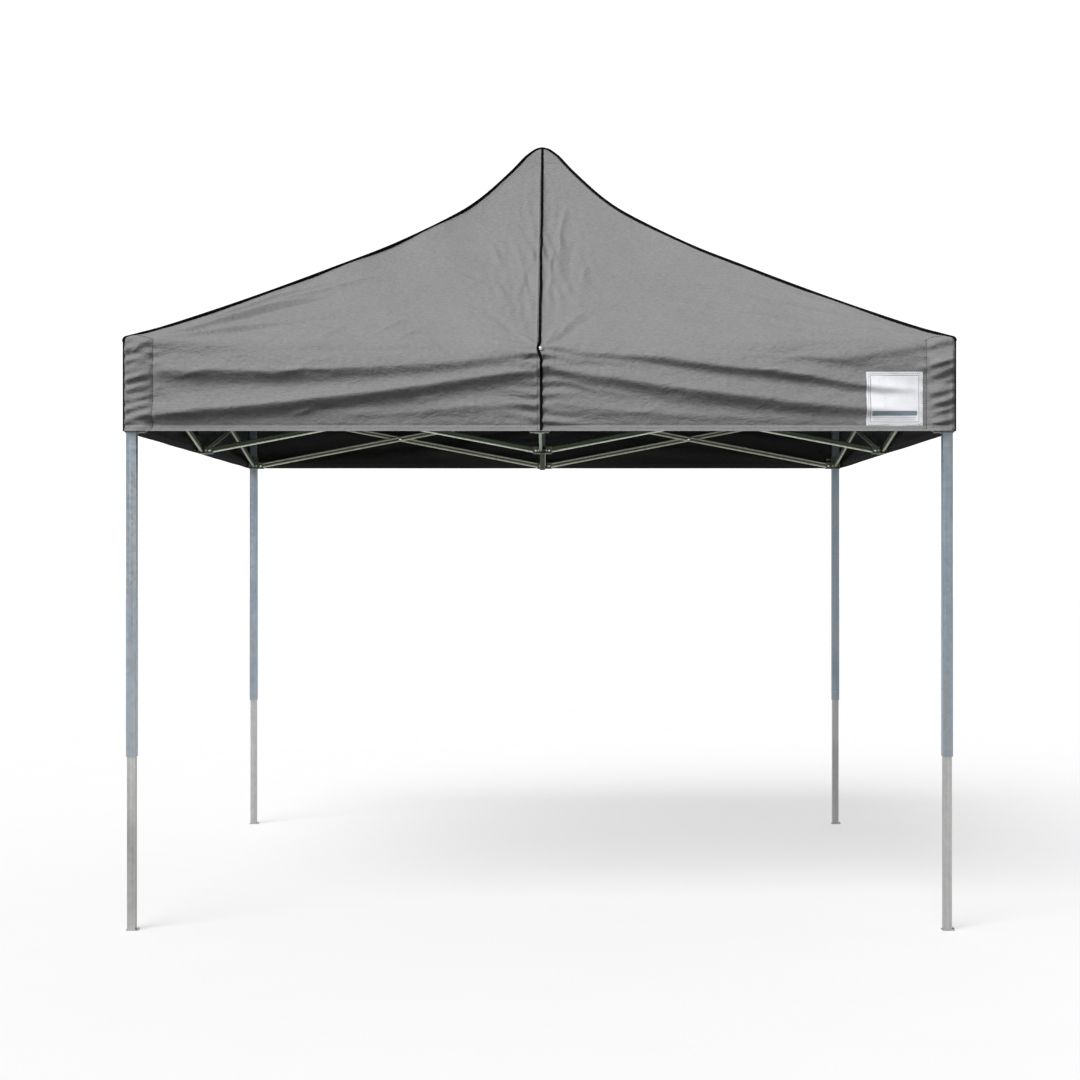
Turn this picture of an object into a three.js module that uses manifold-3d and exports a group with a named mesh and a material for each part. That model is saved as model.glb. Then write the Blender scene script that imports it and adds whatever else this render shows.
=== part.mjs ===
// A 3 m pop-up canopy: four telescoping legs, an accordion frame of crossing bars, a centre pole and a cloth roof.
// Millimetres, +Z up. The origin is on the ground under the pole, and the front faces -Y.
import * as THREE from "three";
import { mergeVertices } from "three/addons/utils/BufferGeometryUtils.js";
import Module from "manifold-3d";

const wasm = await Module();
wasm.setup();

// ---- driving sizes -------------------------------------------------------------------------------------------

const GAP = 0.3; // between pieces that touch
const SIDES = ["front", "right", "rear", "left"];
const CORNERS = ["front_left", "front_right", "rear_right", "rear_left"];

const LEG_AT = 1472; // middle of the canopy to the middle of a leg, along X and along Y
const UPPER_Z = 2082; // pins of the corner brackets, upper side brackets and upper hub
const LOWER_Z = 1812; // pins of the sliders, lower side brackets and lower hub

// pin distances from the middle of each bracket: both kinds of bar get the same run
const LEG_PIN = 36;
const SIDE_PIN = 22;
const INNER_PIN = 30;
const HUB_PIN = LEG_PIN + SIDE_PIN - INNER_PIN;
const RUN = LEG_AT - LEG_PIN - SIDE_PIN;

const BAR = { height: 25, width: 12, wall: 1, lane: 6.75 }; // two bars pass side by side, one in each lane
const PIN_RADIUS = 3.8;
const PIN_HOLE = 4.9;
const BOLT = { radius: 3, hole: 4, head: 6.5, reach: 16.2 };

const OUTER = { half: 18, wall: 1.2, bottom: 628, top: 2116 };
const INNER = { half: 15, wall: 1.2, top: 1130 };
const HEIGHT_HOLES = { radius: 4.5, first: 672, pitch: 100, count: 3 };
const FOOT = { back: 19, front: 24, thick: 4, lip: 9, lipThick: 2.5 };

const CHEEK = { inside: 13.2, outside: 16.2, half: 15 }; // the two plates that hold a bar's pin
const BRIDGE = { near: 13.4, far: 16 }; // the plate that joins two cheeks, above or below the bars
const FORK_REACH = 13; // from a pin to the end of its fork
const SPACER = { radius: 7, gap: 0.45 }; // fills the empty lane on a pin
const SOCKET = { gap: 0.4, wall: 3.1, below: 30, roof: 3 }; // the corner bracket's socket on the leg's top
const SLEEVE = { gap: 0.5, wall: 3, below: 16.5, above: 46, bushing: 6, bushingLength: 8 };
const WEB_HALF = 9; // the block in the middle of a side bracket
const HUB = { ring: 14.8, clearance: 0.9, plate: 1 };
const LOCK = { lane: -6.75, above: 31, radius: 3, tip: OUTER.half + GAP, end: 44, knob: 6.8, knobLength: 8 };

// The pole is a tube with a smaller stem in its top, which slides out as the frame folds and carries the head.
const POLE = { radius: 11, wall: 1.5, bottom: 1726, top: 3058 };
const STEM = { radius: POLE.radius - POLE.wall - GAP, bottom: 2740 };
const HEAD = { collar: 14.3, collarHeight: 20, base: POLE.top + GAP };

const CLOTH = { half: 1497, thick: 1.5, hem: 1800, corner: 2135, middle: 2101, top: 3122 };
const CLOTH_COLUMNS = 10;
const CLOTH_ROWS = [0, 0.05, 0.12, 0.22, 0.36, 0.52, 0.68, 0.8, 0.89, 0.95, 0.976, 0.99]; // eave to peak
const HIP_GAP = 0.4; // each side of the cloth stops this short of its neighbour
const SLACK = 22; // the roof hangs this much lower between two hips than on them
const EAVE_REACH = 0.3; // the curve of the eave fades out over this share of the roof

// ---- materials -----------------------------------------------------------------------------------------------

const finish = (color, roughness, metalness) => new THREE.MeshStandardMaterial({ color, roughness, metalness });
const legSteel = finish(0x9a9c9c, 0.42, 0.85);
const innerSteel = finish(0x8b8d8b, 0.45, 0.85);
const barSteel = finish(0x7f8280, 0.45, 0.8);
const bracketSteel = finish(0x83877f, 0.5, 0.75);
const nylon = finish(0x2b2d2e, 0.6, 0);
const chrome = finish(0xc9cbcc, 0.25, 1);
const cloth = finish(0x77787c, 0.85, 0);

// ---- solids --------------------------------------------------------------------------------------------------

function solid(geometry) {
  const bare = new THREE.BufferGeometry();
  bare.setAttribute("position", geometry.getAttribute("position"));
  bare.setIndex(geometry.index);
  const merged = mergeVertices(bare, 1e-4);
  const vertProperties = merged.getAttribute("position").array;
  const triVerts = new Uint32Array(merged.index.array);
  return new wasm.Manifold(new wasm.Mesh({ numProp: 3, vertProperties, triVerts }));
}

const inOrder = (a, b) => [Math.min(a, b), Math.max(a, b)];
const mirrored = (half) => [-half, half];
const join = (pieces) => pieces.reduce((sum, piece) => sum.add(piece));
const cut = (body, tools) => body.subtract(join(tools));

// A block between two values along each axis.
function block([x0, x1], [y0, y1], [z0, z1]) {
  const geometry = new THREE.BoxGeometry(x1 - x0, y1 - y0, z1 - z0);
  return solid(geometry.translate((x0 + x1) / 2, (y0 + y1) / 2, (z0 + z1) / 2));
}

// A round rod along one axis, from one value to another; the centre gives its place on the other two axes.
function rod(axis, radius, [from, to], centre, sides = 8) {
  const geometry = new THREE.CylinderGeometry(radius, radius, to - from, sides);
  geometry.rotateY(Math.PI / sides);
  if (axis === "x") geometry.rotateZ(-Math.PI / 2);
  if (axis === "z") geometry.rotateX(Math.PI / 2);
  const place = new THREE.Vector3(...centre);
  place[axis] = (from + to) / 2;
  return solid(geometry.translate(place.x, place.y, place.z));
}

// A square or rectangular tube along Z, open at both ends.
function squareTube(half, wall, [z0, z1]) {
  const inside = half - wall;
  const outer = block(mirrored(half), mirrored(half), [z0, z1]);
  return cut(outer, [block(mirrored(inside), mirrored(inside), [z0 - 1, z1 + 1])]);
}

// Swaps X and Y, so that a shape made for the arm along X also serves the arm along Y.
const ACROSS = new THREE.Matrix4().makeBasis(
  new THREE.Vector3(0, 1, 0),
  new THREE.Vector3(1, 0, 0),
  new THREE.Vector3(0, 0, 1),
);
const across = (piece) => piece.transform(ACROSS.elements);
const turned = (piece, quarters) => piece.rotate([0, 0, 90 * quarters]);

function mesh(name, made, material) {
  const { vertProperties, triVerts } = made.getMesh();
  const geometry = new THREE.BufferGeometry();
  geometry.setAttribute("position", new THREE.BufferAttribute(vertProperties, 3));
  geometry.setIndex(new THREE.BufferAttribute(triVerts, 1));
  geometry.computeVertexNormals();
  const piece = new THREE.Mesh(geometry, material);
  piece.name = name;
  return piece;
}

// ---- bars ----------------------------------------------------------------------------------------------------

// A flat-oval bar along X between its two pin holes, lying in the lane at y = 0.
// boltSide is 0 for the bar with the clearance hole, or the side (+1 or -1) where the crossing bolt holds its partner.
function bar(boltSide) {
  const length = Math.hypot(RUN, UPPER_Z - LOWER_Z);
  const half = BAR.height / 2;
  const outline = new THREE.Shape();
  outline.absarc(0, 0, half, Math.PI / 2, 1.5 * Math.PI, false);
  outline.absarc(length, 0, half, -Math.PI / 2, Math.PI / 2, false);
  const options = { depth: BAR.width, bevelEnabled: false, curveSegments: 2 };
  const geometry = new THREE.ExtrudeGeometry(outline, options);
  geometry.rotateX(Math.PI / 2).translate(0, BAR.width / 2, 0);

  const side = BAR.width / 2;
  const inside = side - BAR.wall;
  const hollow = block([-half - 1, length + half + 1], mirrored(inside), mirrored(half - BAR.wall));
  const pinHoles = [0, length].map((x) => rod("y", PIN_HOLE, mirrored(side + 1), [x, 0, 0], 6));
  const tube = cut(solid(geometry), [hollow, ...pinHoles]);

  const middle = [length / 2, 0, 0];
  if (!boltSide) return cut(tube, [rod("y", BOLT.hole, mirrored(side + 1), middle, 6)]);

  const ownFace = -boltSide * (side - 0.5);
  const ownHead = -boltSide * (BOLT.reach - BAR.lane);
  const farFace = boltSide * (BAR.lane + side + BAR.lane + GAP);
  const farHead = boltSide * (BOLT.reach + BAR.lane);
  return join([
    tube,
    rod("y", BOLT.radius, inOrder(ownHead, farHead), middle, 6),
    rod("y", BOLT.head, inOrder(ownFace, ownHead), middle, 6),
    rod("y", BOLT.head, inOrder(farFace, farHead), middle, 6),
  ]);
}

// Lays a bar between two pins, given as points at the middle of its lane.
function layBar(name, made, from, to) {
  const along = new THREE.Vector3().subVectors(to, from).normalize();
  const level = new THREE.Vector3(0, 0, 1).cross(along).normalize();
  const upright = new THREE.Vector3().crossVectors(along, level);
  const piece = mesh(name, made, barSteel);
  piece.applyMatrix4(new THREE.Matrix4().makeBasis(along, level, upright).setPosition(from));
  return piece;
}

// ---- brackets: each is made with z = 0 at its pins ---------------------------------------------------------------

// A fork along +X that holds one bar in one lane (+1 or -1 along Y) on a pin at x = pin.
// It runs from x = from, and its bridge is above (+1) or below (-1) the bar.
function fork(pin, from, lane, bridgeSide) {
  const end = pin + FORK_REACH;
  const cheeks = [-1, 1].map((s) =>
    block([from, end], inOrder(s * CHEEK.inside, s * CHEEK.outside), mirrored(CHEEK.half)),
  );
  const bridgeZ = inOrder(bridgeSide * BRIDGE.near, bridgeSide * BRIDGE.far);
  const spacerY = inOrder(-lane * (CHEEK.inside + 0.5), -lane * SPACER.gap);
  return join([
    ...cheeks,
    block([from, end], mirrored(CHEEK.outside), bridgeZ),
    rod("y", PIN_RADIUS, mirrored(CHEEK.inside + 1), [pin, 0, 0]),
    rod("y", SPACER.radius, spacerY, [pin, 0, 0], 6),
  ]);
}

// The bracket riveted on the leg's top: a capped socket with two forks. The bars sit in the outer lanes.
function cornerBracket() {
  const { gap, wall, below, roof } = SOCKET;
  const inside = OUTER.half + gap;
  const outside = inside + wall;
  const top = OUTER.top - UPPER_Z + GAP;
  const socket = block(mirrored(outside), mirrored(outside), [-below, top + roof]);
  const arm = fork(LEG_PIN, outside - 1, -1, 1);
  return cut(join([socket, arm, across(arm)]), [block(mirrored(inside), mirrored(inside), [-below - 1, top])]);
}

// The sleeve that slides on the leg, with two forks and the bushing of its lock pin. The bars sit in the inner lanes.
function slider() {
  const { gap, wall, below, above, bushing, bushingLength } = SLEEVE;
  const inside = OUTER.half + gap;
  const outside = inside + wall;
  const end = outside + bushingLength;
  const pinLine = [0, LOCK.lane, LOCK.above];
  const arm = fork(LEG_PIN, outside - 1, 1, -1);
  const sleeve = block(mirrored(outside), mirrored(outside), [-below, above]);
  const guide = rod("x", bushing, [outside - 1, end], pinLine);
  return cut(join([sleeve, arm, across(arm), guide]), [
    block(mirrored(inside), mirrored(inside), [-below - 1, above + 1]),
    rod("x", LOCK.radius + 0.5, [inside - 1, end + 1], pinLine),
  ]);
}

// A side bracket: two forks along X for the side bars and one along +Y for the cross bar.
// The upper one is bridged above its bars and the lower one below them.
function sideBracket(upper) {
  const way = upper ? 1 : -1; // the lane of the bars, and the side of the bridge
  const right = fork(SIDE_PIN, 0, way, way);
  const left = fork(SIDE_PIN, 0, -way, way);
  const inner = fork(INNER_PIN, CHEEK.outside - 1, way, way);
  const web = block(mirrored(WEB_HALF), mirrored(CHEEK.inside + 1), mirrored(CHEEK.half));
  return join([right, turned(left, 2), turned(inner, 1), web]);
}

// A hub: four forks round a guide ring for the pole.
function hub(upper, bore) {
  const way = upper ? 1 : -1;
  const arms = [0, 1, 2, 3].map((quarter) => turned(fork(HUB_PIN, CHEEK.inside, way, way), quarter));
  const plateZ = inOrder(way * BRIDGE.near, way * (BRIDGE.far + HUB.plate));
  const middle = block(mirrored(CHEEK.outside), mirrored(CHEEK.outside), plateZ);
  const ring = rod("z", HUB.ring, mirrored(CHEEK.half), [0, 0, 0], 16);
  return cut(join([...arms, middle, ring]), [rod("z", bore, mirrored(CHEEK.half + 5), [0, 0, 0], 16)]);
}

// ---- legs and pole ---------------------------------------------------------------------------------------------

function outerLeg() {
  const { half, wall, bottom, top } = OUTER;
  const holes = [];
  for (let i = 0; i < HEIGHT_HOLES.count; i += 1) {
    const z = HEIGHT_HOLES.first + i * HEIGHT_HOLES.pitch;
    holes.push(rod("y", HEIGHT_HOLES.radius, [half - wall - 1, half + 1], [0, 0, z]));
  }
  const lockZ = LOWER_Z + LOCK.above;
  const lockHole = rod("x", LOCK.radius + 0.8, [half - wall - 1, half + 1], [0, LOCK.lane, lockZ]);
  return cut(squareTube(half, wall, [bottom, top]), [...holes, lockHole]);
}

// The inner leg with its foot: a small plate with an upturned lip.
function innerLeg() {
  const { back, front, thick, lip, lipThick } = FOOT;
  return join([
    squareTube(INNER.half, INNER.wall, [thick - 1, INNER.top]),
    block([-back, front], [-back, back], [0, thick]),
    block([front - lipThick, front], [-back + 4, back - 4], [thick - 1, lip]),
  ]);
}

function lockPin() {
  const { lane, radius, tip, end, knob, knobLength } = LOCK;
  const stem = rod("x", radius, [tip, end - 1], [0, lane, 0]);
  return join([stem, rod("x", knob, [end - knobLength, end], [0, lane, 0])]);
}

function centrePole() {
  const { radius, wall, bottom, top } = POLE;
  const tube = rod("z", radius, [bottom, top], [0, 0, 0], 16);
  return cut(tube, [rod("z", radius - wall, [bottom - 1, top + 1], [0, 0, 0], 16)]);
}

// The mushroom head that carries the cloth at the peak, on its stem.
function poleCap() {
  const { collar, collarHeight, base } = HEAD;
  const profile = [
    [0, STEM.bottom],
    [STEM.radius, STEM.bottom],
    [STEM.radius, base],
    [collar, base],
    [collar, base + collarHeight],
    [30, base + 28],
    [34, base + 33],
    [31, base + 41],
    [19, base + 48],
    [0, base + 51],
  ].map(([x, y]) => new THREE.Vector2(x, y));
  return solid(new THREE.LatheGeometry(profile, 16).rotateX(Math.PI / 2));
}

// ---- cloth -----------------------------------------------------------------------------------------------------

// Height of the cloth along a hip seam, from the corner (0) to the peak (1), as fractions of the roof's rise.
// The cloth leaves the corner flat, runs straight up the slope and steepens towards the pole.
const HIP = new THREE.SplineCurve(
  [
    [0, 0],
    [0.07, 0.042],
    [0.2, 0.142],
    [0.46, 0.371],
    [0.6, 0.489],
    [0.75, 0.643],
    [0.83, 0.737],
    [0.91, 0.866],
    [0.95, 0.942],
    [0.976, 0.985],
    [1, 1],
  ].map(([x, y]) => new THREE.Vector2(x, y)),
);

function hipHeight(inward) {
  let [low, high] = [0, 1];
  for (let step = 0; step < 30; step += 1) {
    const t = (low + high) / 2;
    if (HIP.getPoint(t).x < inward) low = t;
    else high = t;
  }
  return HIP.getPoint(low).y;
}

// The eave rises from the side bracket in its middle to the corners.
const eaveHeight = (across01) => CLOTH.middle + (CLOTH.corner - CLOTH.middle) * Math.abs(across01) ** 1.5;

function roofHeight(inward, along) {
  const onHip = CLOTH.corner + (CLOTH.top - CLOTH.corner) * hipHeight(inward);
  const nearEave = Math.max(0, 1 - inward / EAVE_REACH) ** 2;
  const slack = SLACK * Math.sin(Math.PI * inward) * (1 - along * along);
  return onHip - (CLOTH.corner - eaveHeight(along)) * nearEave - slack;
}

// One side of the cloth: its valance and its triangle of roof, in one piece, with mitred edges on the hips.
function clothSide() {
  const columns = CLOTH_COLUMNS;
  const count = 1 + CLOTH_ROWS.length; // the hem comes before the eave
  const positions = [];
  for (const layer of [0, 1]) {
    for (let row = 0; row < count; row += 1) {
      const inward = row === 0 ? 0 : CLOTH_ROWS[row - 1];
      const out = CLOTH.half * (1 - inward) - layer * CLOTH.thick;
      for (let column = 0; column <= columns; column += 1) {
        const along = (2 * column) / columns - 1;
        const roof = roofHeight(inward, along) - layer * CLOTH.thick;
        positions.push(along * (out - HIP_GAP), -out, row === 0 ? CLOTH.hem : roof);
      }
    }
  }
  const at = (layer, row, column) => (layer * count + row) * (columns + 1) + column;
  const triangles = [];
  const quad = (a, b, c, d) => triangles.push(a, b, c, a, c, d);
  for (let row = 0; row + 1 < count; row += 1) {
    for (let column = 0; column < columns; column += 1) {
      const [low, high] = [at(0, row, column), at(0, row + 1, column)];
      const corners = [low, low + 1, high + 1, high];
      quad(...corners);
      quad(...corners.map((n) => n + at(1, 0, 0)).reverse());
    }
    quad(at(0, row, 0), at(0, row + 1, 0), at(1, row + 1, 0), at(1, row, 0));
    quad(at(0, row + 1, columns), at(0, row, columns), at(1, row, columns), at(1, row + 1, columns));
  }
  for (let column = 0; column < columns; column += 1) {
    quad(at(0, 0, column + 1), at(0, 0, column), at(1, 0, column), at(1, 0, column + 1));
    const last = count - 1;
    quad(at(0, last, column), at(0, last, column + 1), at(1, last, column + 1), at(1, last, column));
  }
  const geometry = new THREE.BufferGeometry();
  geometry.setAttribute("position", new THREE.Float32BufferAttribute(positions, 3));
  geometry.setIndex(triangles);
  return solid(geometry);
}

// ---- assembly --------------------------------------------------------------------------------------------------

const canopy = new THREE.Group();

const shapes = {
  plainBar: bar(0),
  boltBar: bar(1),
  boltBarOther: bar(-1),
  cornerBracket: cornerBracket(),
  slider: slider(),
  outerLeg: outerLeg(),
  innerLeg: innerLeg(),
  lockPin: lockPin(),
  upperBracket: sideBracket(true),
  lowerBracket: sideBracket(false),
  cloth: clothSide(),
};

// Each corner is made for the front left one, where its arms point along +X and +Y, and turned into place.
CORNERS.forEach((corner, quarter) => {
  const place = new THREE.Group();
  place.rotation.z = (quarter * Math.PI) / 2;
  const leg = new THREE.Group();
  leg.position.set(-LEG_AT, -LEG_AT, 0);
  place.add(leg);
  canopy.add(place);

  const bracket = mesh(`corner_bracket_${corner}`, shapes.cornerBracket, bracketSteel);
  bracket.position.z = UPPER_Z;
  const sleeve = mesh(`slider_${corner}`, shapes.slider, bracketSteel);
  sleeve.position.z = LOWER_Z;
  const pin = mesh(`lock_pin_${corner}`, shapes.lockPin, chrome);
  pin.position.z = LOWER_Z + LOCK.above;
  const inner = mesh(`inner_leg_${corner}`, shapes.innerLeg, innerSteel);
  inner.rotation.z = -place.rotation.z; // every foot's lip points the same way
  leg.add(mesh(`outer_leg_${corner}`, shapes.outerLeg, legSteel), inner, bracket, sleeve, pin);
});

// Each side is made for the front one and turned into place.
SIDES.forEach((side, quarter) => {
  const place = new THREE.Group();
  place.rotation.z = (quarter * Math.PI) / 2;
  canopy.add(place);

  const upper = mesh(`upper_bracket_${side}`, shapes.upperBracket, bracketSteel);
  upper.position.set(0, -LEG_AT, UPPER_Z);
  const lower = mesh(`lower_bracket_${side}`, shapes.lowerBracket, bracketSteel);
  lower.position.set(0, -LEG_AT, LOWER_Z);
  place.add(upper, lower, mesh(`canopy_${side}`, shapes.cloth, cloth));

  // two pairs of side bars; the one from the leg's top runs in the outer lane and carries the bolt
  const halves = [CORNERS[quarter], CORNERS[(quarter + 1) % 4]];
  halves.forEach((corner, half) => {
    const way = half === 0 ? -1 : 1;
    const near = way * SIDE_PIN;
    const far = way * (SIDE_PIN + RUN);
    const outerLane = -LEG_AT - BAR.lane;
    const innerLane = -LEG_AT + BAR.lane;
    const toCorner = `${side}_to_${corner}`;
    place.add(
      layBar(
        `top_bar_${toCorner}`,
        half === 0 ? shapes.boltBarOther : shapes.boltBar,
        new THREE.Vector3(near, outerLane, LOWER_Z),
        new THREE.Vector3(far, outerLane, UPPER_Z),
      ),
      layBar(
        `slide_bar_${toCorner}`,
        shapes.plainBar,
        new THREE.Vector3(near, innerLane, UPPER_Z),
        new THREE.Vector3(far, innerLane, LOWER_Z),
      ),
    );
  });

  // the pair of cross bars from the side brackets in to the hubs
  const outward = -LEG_AT + INNER_PIN;
  place.add(
    layBar(
      `cross_bar_rising_${side}`,
      shapes.boltBar,
      new THREE.Vector3(BAR.lane, outward, LOWER_Z),
      new THREE.Vector3(BAR.lane, -HUB_PIN, UPPER_Z),
    ),
    layBar(
      `cross_bar_falling_${side}`,
      shapes.plainBar,
      new THREE.Vector3(-BAR.lane, outward, UPPER_Z),
      new THREE.Vector3(-BAR.lane, -HUB_PIN, LOWER_Z),
    ),
  );
});

const upperHub = mesh("upper_hub", hub(true, POLE.radius + HUB.clearance), bracketSteel);
upperHub.position.z = UPPER_Z;
const lowerHub = mesh("lower_hub", hub(false, POLE.radius + GAP), bracketSteel);
lowerHub.position.z = LOWER_Z;
canopy.add(upperHub, lowerHub, mesh("centre_pole", centrePole(), chrome), mesh("pole_cap", poleCap(), nylon));

export default canopy;
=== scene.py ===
"""A 3 m pop-up canopy: cloth, seams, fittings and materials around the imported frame, in metres."""
import math

import bmesh
import bpy
import numpy as np
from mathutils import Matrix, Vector


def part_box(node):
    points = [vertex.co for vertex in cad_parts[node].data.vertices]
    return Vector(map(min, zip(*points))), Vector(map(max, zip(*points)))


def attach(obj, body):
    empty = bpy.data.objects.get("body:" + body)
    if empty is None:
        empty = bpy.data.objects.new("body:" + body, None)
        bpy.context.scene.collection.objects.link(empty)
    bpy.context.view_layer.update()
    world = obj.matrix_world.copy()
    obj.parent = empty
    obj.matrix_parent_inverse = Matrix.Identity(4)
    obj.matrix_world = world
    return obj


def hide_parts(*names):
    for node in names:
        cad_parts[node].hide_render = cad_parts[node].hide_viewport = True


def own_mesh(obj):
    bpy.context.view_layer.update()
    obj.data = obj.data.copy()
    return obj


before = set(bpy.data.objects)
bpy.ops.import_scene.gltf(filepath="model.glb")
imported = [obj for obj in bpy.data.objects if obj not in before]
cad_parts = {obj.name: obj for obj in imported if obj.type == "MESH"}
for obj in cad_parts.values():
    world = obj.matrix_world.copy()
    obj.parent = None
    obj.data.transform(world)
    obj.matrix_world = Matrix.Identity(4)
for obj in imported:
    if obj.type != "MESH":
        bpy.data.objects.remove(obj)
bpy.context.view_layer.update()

SIDES = ["front", "right", "rear", "left"]
CORNERS = ["front_left", "front_right", "rear_right", "rear_left"]

# ---- sizes of the cloth ------------------------------------------------------

cloth_low, cloth_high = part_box("canopy_front")
HALF = -cloth_low.y  # the middle of the canopy to the outside of its cloth
HEM = cloth_low.z
TOP = cloth_high.z
CORNER = 2.135  # the eave at the corners
MIDDLE = 2.101  # the eave in the middle of a side
SLACK = 0.022  # the roof hangs this much lower between two hips than on them
EAVE_REACH = 0.3  # the curve of the eave fades out over this share of the roof
ROOF_PER_RUN = 1.06  # length up the roof for each metre inward

CLOTH_THICK = 0.0012
HEM_LINE = 0.022  # the hem's stitching above its edge
CORNER_SEAM = 1.393  # the stitched seam of the corner strip, from the middle
PATCH_FROM = 0.943  # the crown patch covers the roof from here to the peak
PIPING = 0.0054  # radius of the piping's cord
RIVET_Z = 2.099

# what is left of the cloth's width when the frame is folded; here it sets how much less the valance's cloth
# runs in over the eave towards the corners
VALANCE_KEEP = 0.1392

# a hip from the corner to the peak: shares of the way in and of the height
HIP_POINTS = [
    (0, 0), (0.07, 0.042), (0.2, 0.141), (0.33, 0.2465), (0.46, 0.357), (0.6, 0.479), (0.75, 0.632),
    (0.83, 0.733), (0.91, 0.866), (0.95, 0.942), (0.976, 0.985), (1, 1),
]


def catmull(points, steps=40):
    """A smooth line through the points."""
    p = np.array(points, float)
    t = np.linspace(0, 1, steps, endpoint=False)[:, None]
    out = []
    for i in range(len(p) - 1):
        p0, p1, p2, p3 = p[max(i - 1, 0)], p[i], p[i + 1], p[min(i + 2, len(p) - 1)]
        v0, v1 = (p2 - p0) / 2, (p3 - p1) / 2
        out.append((2 * p1 - 2 * p2 + v0 + v1) * t**3 + (3 * p2 - 3 * p1 - 2 * v0 - v1) * t**2 + v0 * t + p1)
    return np.vstack([*out, p[-1:]])


HIP = catmull(HIP_POINTS)


def ramp(value, reach):
    """Rises from 0 to 1 as the value goes from 0 to reach."""
    return np.clip(value / reach, 0, 1)


def bell(value, width):
    return np.exp(-((value / width) ** 2))


def eave_height(along):
    return MIDDLE + (CORNER - MIDDLE) * np.abs(along) ** 1.5


def roof_height(inward, along):
    """The CAD cloth: inward is 0 at the eave and 1 at the peak, along is -1 to 1 between the hips."""
    on_hip = CORNER + (TOP - CORNER) * np.interp(inward, HIP[:, 0], HIP[:, 1])
    near_eave = np.maximum(0, 1 - inward / EAVE_REACH) ** 2
    slack = SLACK * np.sin(np.pi * inward) * (1 - along**2)
    return on_hip - (CORNER - eave_height(along)) * near_eave - slack


# ---- folds of the cloth ------------------------------------------------------


def in_metres(value):
    """Lists of millimetres, however nested, as metres."""
    return [in_metres(v) for v in value] if isinstance(value, (list, tuple)) else value / 1000


def folds_in_metres(folds):
    return [(in_metres(points), upper / 1000, lower / 1000, bend) for points, upper, lower, bend in folds]


# A fold is a line of (x, z, height) points along its crest, with the reach of its upper and lower slope, in
# millimetres, and how much the upper slope steepens towards the crest. z is measured on the front of the
# valance, and height is how far the cloth stands out.

FRONT_FOLDS = folds_in_metres([
    # left half: the roll of the eave, then the long fold that rises to the seam, then the shallow one below
    ([(-1490, 2014, 2), (-1400, 2016, 12), (-1300, 2022, 24), (-1100, 2020, 34), (-930, 2019, 38),
      (-750, 2024, 38), (-580, 2032, 34), (-430, 2039, 30), (-280, 2053, 23), (-140, 2068, 15),
      (-30, 2084, 6), (20, 2092, 0)], 78, 36, 1.3),
    ([(-1490, 1865, 4), (-1420, 1866, 18), (-1340, 1870, 33), (-1250, 1881, 40), (-1100, 1888, 44),
      (-930, 1904, 45), (-750, 1926, 44), (-580, 1944, 42), (-430, 1963, 40), (-300, 1984, 36),
      (-120, 2009, 28), (-10, 2023, 17), (30, 2027, 0)], 88, 34, 1.8),
    ([(-800, 1852, 0), (-550, 1864, 6), (-300, 1884, 9), (-120, 1897, 10), (-10, 1905, 6), (20, 1906, 0)],
     42, 22, 1.4),
    # right half: both folds fall away from the seam
    ([(-20, 2092, 0), (30, 2091, 4), (210, 2083, 6), (410, 2070, 19), (540, 2051, 25), (670, 2033, 29),
      (800, 2022, 30), (935, 2008, 29), (1030, 1992, 25), (1130, 1972, 22), (1250, 1957, 12),
      (1380, 1947, 0)], 70, 22, 1.3),
    ([(-20, 2033, 0), (20, 2031, 17), (150, 2003, 24), (280, 1993, 28), (410, 1970, 32), (540, 1952, 37),
      (670, 1937, 39), (800, 1923, 39), (935, 1903, 37), (1130, 1887, 24), (1250, 1878, 12),
      (1360, 1868, 0)], 82, 32, 1.25),
    ([(20, 1910, 0), (100, 1893, 8), (350, 1871, 9), (600, 1858, 8), (900, 1845, 4), (1100, 1840, 0)],
     40, 22, 1.4),
    ([(900, 2078, 0), (1000, 2074, 10), (1100, 2066, 12), (1200, 2060, 0)], 60, 30, 1.3),
    # the dark hollow above the label
    ([(1080, 2068, 0), (1170, 2076, 5), (1280, 2092, 7), (1380, 2108, 4), (1420, 2110, 0)], 40, 18, 1.4),
])

# Two folds across the corner strip at the right end, under which the strip leans in.
STRIP_FOLDS = folds_in_metres([
    ([(1350, 2026, 0), (1410, 2036, 11), (1450, 2047, 19), (1497, 2062, 22)], 50, 40, 1.3),
    ([(1370, 1945, 0), (1410, 1942, 9), (1450, 1938, 15), (1497, 1932, 16)], 55, 36, 1.2),
])

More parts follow.
